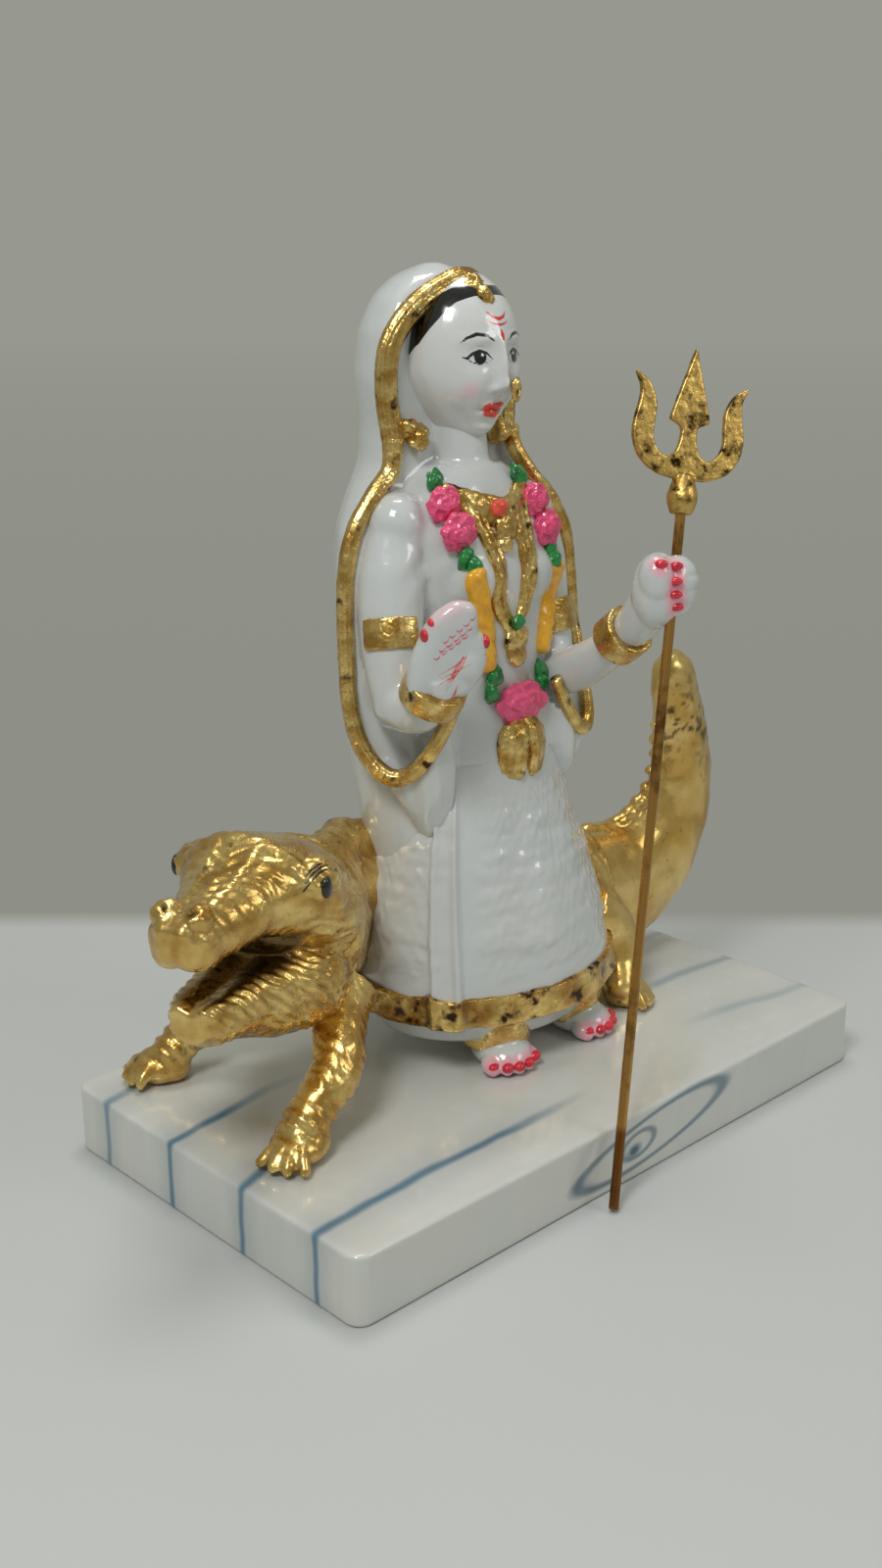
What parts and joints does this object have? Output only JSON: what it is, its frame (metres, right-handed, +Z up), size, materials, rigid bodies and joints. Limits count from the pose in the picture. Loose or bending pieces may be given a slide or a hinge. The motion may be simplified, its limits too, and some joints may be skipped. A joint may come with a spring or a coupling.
{
  "type": "khodiyar maa statue",
  "caption": "Table-top idol of a veiled goddess standing over a gilded crocodile on a veined white slab, her raised left fist holding a thin brass trident.",
  "frame": {"origin": "centre of the slab's underside", "axes": "+Z up, +X along the slab towards the crocodile's tail and the figure's left hand, -Y the way the figure faces"},
  "size_m": [0.1705, 0.096, 0.178],
  "materials": {
    "veined_marble": "polished poured marble, white with blue-grey veins",
    "white_resin": "glossy white marble-dust resin, gilded and painted with enamel",
    "trident_brass": "sandy cast brass with dark patina",
    "rod_brass": "drawn brass wire, browned at the lower end"
  },
  "bodies": {
    "root": {"base_slab": "veined_marble", "goddess_with_crocodile": "white_resin", "trident_head": "trident_brass", "trident_rod": "rod_brass"}
  },
  "joints": []
}
